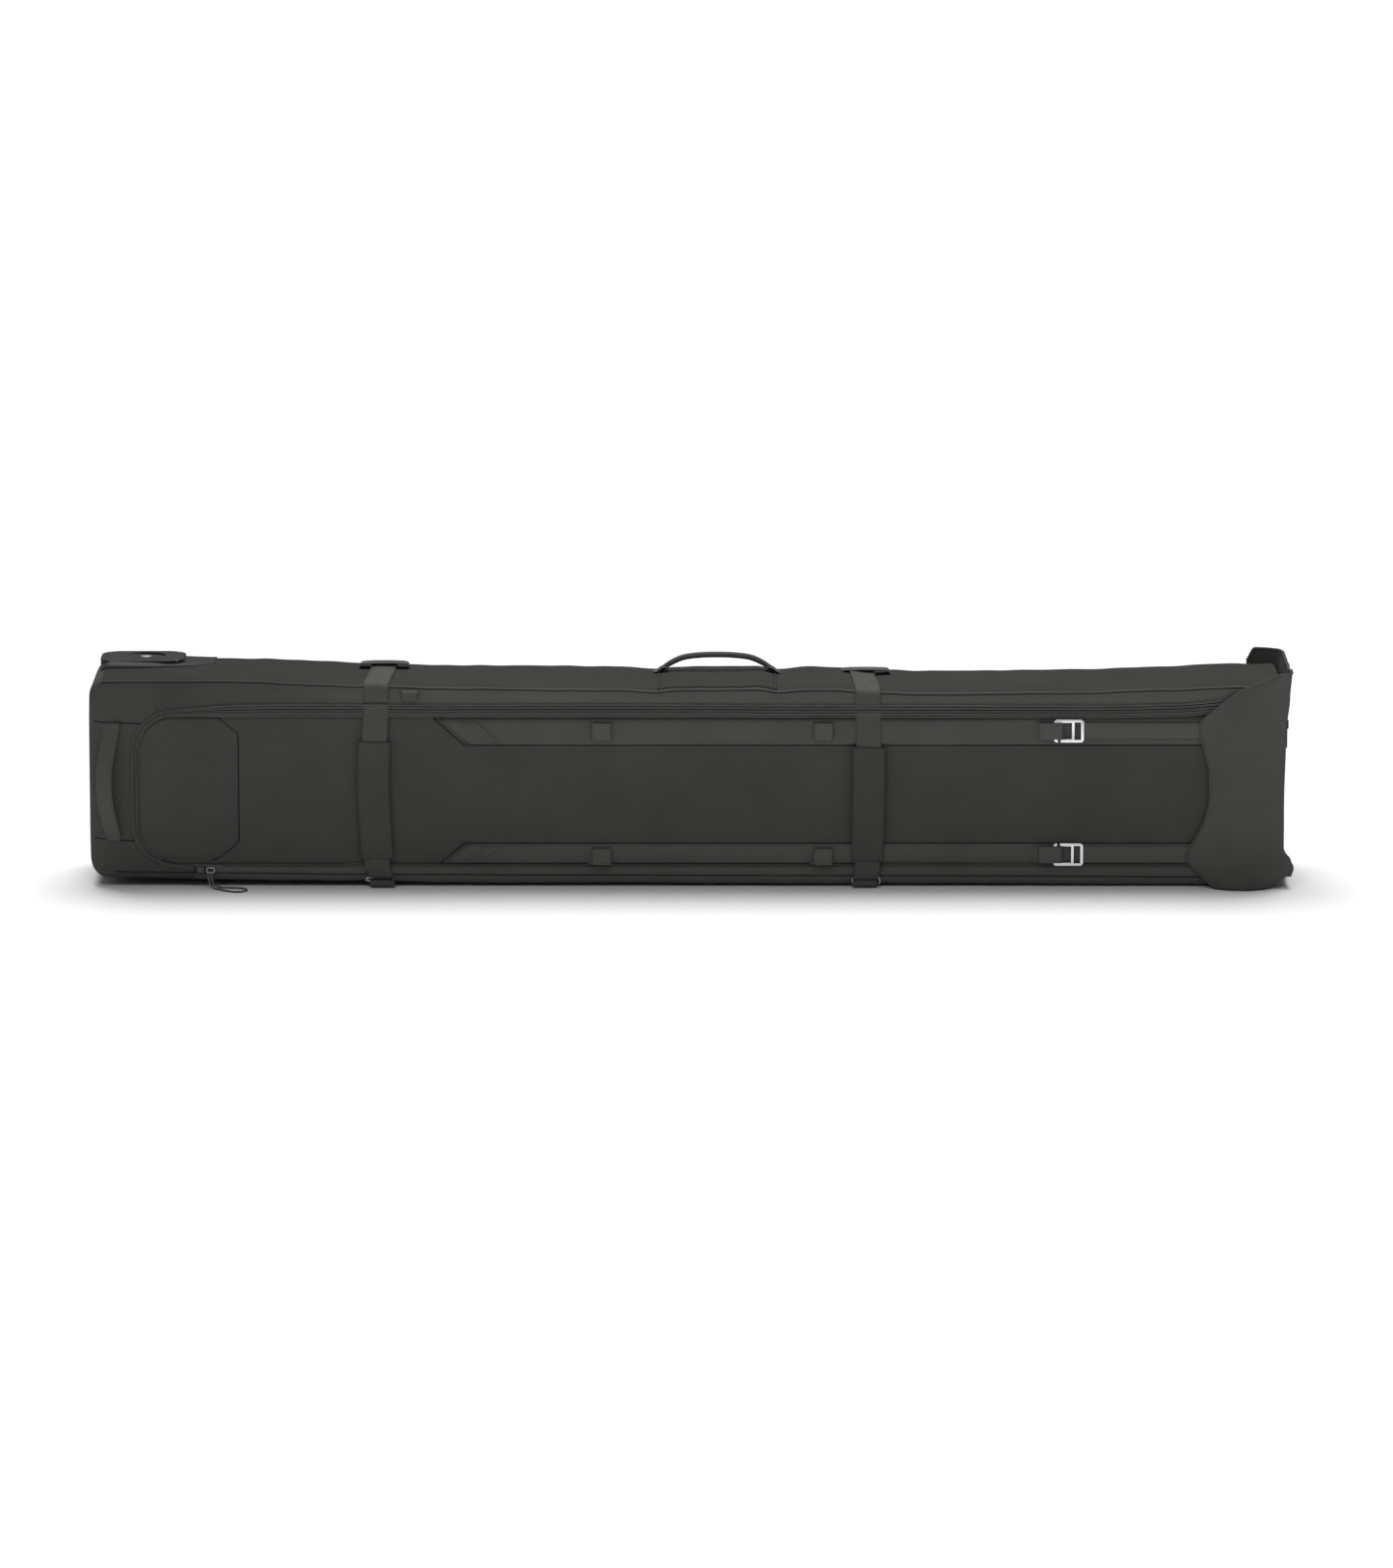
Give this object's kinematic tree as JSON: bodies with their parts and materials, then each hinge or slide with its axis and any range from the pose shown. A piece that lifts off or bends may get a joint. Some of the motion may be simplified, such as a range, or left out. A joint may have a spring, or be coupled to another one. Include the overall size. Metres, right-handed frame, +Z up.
{
  "type": "wheeled ski bag",
  "caption": "Long padded ski bag on two wheels, with a zipped front lid, compression straps and a hooked fold-over flap at its mouth end.",
  "frame": {"origin": "middle of the bag's length and depth, on the flat lower long side that the bag stands on", "axes": "+X from the wheel end to the mouth end, -Y towards the lid, +Z up"},
  "size_m": [1.81, 0.2779, 0.33],
  "materials": {
    "shell_fabric": "dark grey woven polyester, coated",
    "padding_foam": "closed-cell foam with its lining bonded on",
    "webbing": "dark grey woven webbing",
    "zip_tape": "woven tape with a moulded coil",
    "frame_plastic": "polyethylene sheet",
    "moulded_plastic": "fine moulded grain",
    "hub_plastic": "moulded",
    "wheel_rubber": "moulded polyurethane",
    "hook_aluminium": "satin anodised",
    "steel": "plated",
    "cord": "braided"
  },
  "bodies": {
    "root": {"back_panel": "shell_fabric", "upper_side_panel": "shell_fabric", "lower_side_panel": "shell_fabric", "wheel_end_panel": "shell_fabric", "mouth_end_panel": "shell_fabric", "front_border_sides": "shell_fabric", "front_border_wheel_end": "shell_fabric", "front_end_panel": "shell_fabric", "back_foam": "padding_foam", "upper_side_foam": "padding_foam", "lower_side_foam": "padding_foam", "frame_sheet": "frame_plastic", "zip_body_side": "zip_tape", "zip_garage": "webbing", "front_end_bands": "shell_fabric", "engaged_loops": "webbing", "end_cover_wrap": "shell_fabric", "end_zip_slider": "moulded_plastic", "top_handle_base": "shell_fabric", "top_handle_tabs": "webbing", "end_handle": "webbing", "corner_tab": "webbing", "strap_a_wrap": "webbing", "strap_b_wrap": "webbing", "strap_keepers": "webbing", "strap_anchors": "webbing", "wheel_housing_upper": "moulded_plastic", "wheel_housing_lower": "moulded_plastic", "axles": "steel", "housing_fasteners": "steel"},
    "lid": {"lid_panel": "shell_fabric", "lid_foam": "padding_foam", "lid_band_upper": "shell_fabric", "lid_band_lower": "shell_fabric", "lid_end_patch": "shell_fabric", "zip_lid_side": "zip_tape", "gear_loops": "webbing"},
    "flap": {"flap_panel": "shell_fabric", "flap_binding": "webbing", "flap_strap_upper": "webbing", "flap_strap_lower": "webbing"},
    "hook_upper_body": {"hook_upper": "hook_aluminium"},
    "hook_lower_body": {"hook_lower": "hook_aluminium"},
    "strap_a": {"strap_a_front": "webbing", "strap_a_sleeve": "webbing", "strap_a_hook": "hook_aluminium"},
    "strap_b": {"strap_b_front": "webbing", "strap_b_sleeve": "webbing", "strap_b_hook": "hook_aluminium"},
    "wheel_upper": {"tyre_upper": "wheel_rubber", "hub_upper": "hub_plastic", "bearings_upper": "steel"},
    "wheel_lower": {"tyre_lower": "wheel_rubber", "hub_lower": "hub_plastic", "bearings_lower": "steel"},
    "top_handle": {"top_handle_grip": "webbing"},
    "slider": {"zip_slider": "moulded_plastic", "zip_ring": "steel", "pull_cord": "cord"},
    "end_pull": {"end_zip_pull": "cord"}
  },
  "joints": [
    {"name": "lid_open", "type": "hinge", "parent": "root", "child": "lid", "pos_m": [0, -0.11, 0.034], "axis": [1, 0, 0], "range_deg": [0, 90], "deforming": ["strap_a_front", "strap_a_sleeve", "strap_a_hook", "strap_b_front", "strap_b_sleeve", "strap_b_hook"]},
    {"name": "flap_open", "type": "hinge", "parent": "root", "child": "flap", "pos_m": [0.901, -0.1139, 0.16], "axis": [0, 0, 1], "range_deg": [0, 170], "deforming": ["engaged_loops"]},
    {"name": "hook_upper_swing", "type": "hinge", "parent": "flap", "child": "hook_upper_body", "pos_m": [0.597, -0.1165, 0.24], "axis": [0, 0, 1], "range_deg": [0, 60]},
    {"name": "hook_lower_swing", "type": "hinge", "parent": "flap", "child": "hook_lower_body", "pos_m": [0.597, -0.1165, 0.051], "axis": [0, 0, 1], "range_deg": [0, 60]},
    {"name": "strap_a_flip", "type": "hinge", "parent": "root", "child": "strap_a", "pos_m": [-0.467, -0.1142, 0.2746], "axis": [-1, 0, 0], "range_deg": [0, 170], "deforming": ["strap_anchors"]},
    {"name": "strap_b_flip", "type": "hinge", "parent": "root", "child": "strap_b", "pos_m": [0.275, -0.1142, 0.27004], "axis": [-1, 0, 0], "range_deg": [0, 170]},
    {"name": "wheel_upper_spin", "type": "hinge", "parent": "root", "child": "wheel_upper", "pos_m": [-0.822, 0.072, 0.297], "axis": [0, 0, 1], "continuous": true},
    {"name": "wheel_lower_spin", "type": "hinge", "parent": "root", "child": "wheel_lower", "pos_m": [-0.822, 0.072, 0.028], "axis": [0, 0, 1], "continuous": true},
    {"name": "top_handle_swing", "type": "hinge", "parent": "root", "child": "top_handle", "pos_m": [0.047, 0.06, 0.3045], "axis": [1, 0, 0], "range_deg": [-75, 75]},
    {"name": "zip_slide", "type": "slide", "parent": "root", "child": "slider", "axis": [1, 0, 0], "range_m": [-0.04, 0]},
    {"name": "end_pull_swing", "type": "hinge", "parent": "root", "child": "end_pull", "pos_m": [0.9075, -0.066, 0.24], "axis": [0, -1, 0], "range_deg": [0, 110]}
  ]
}
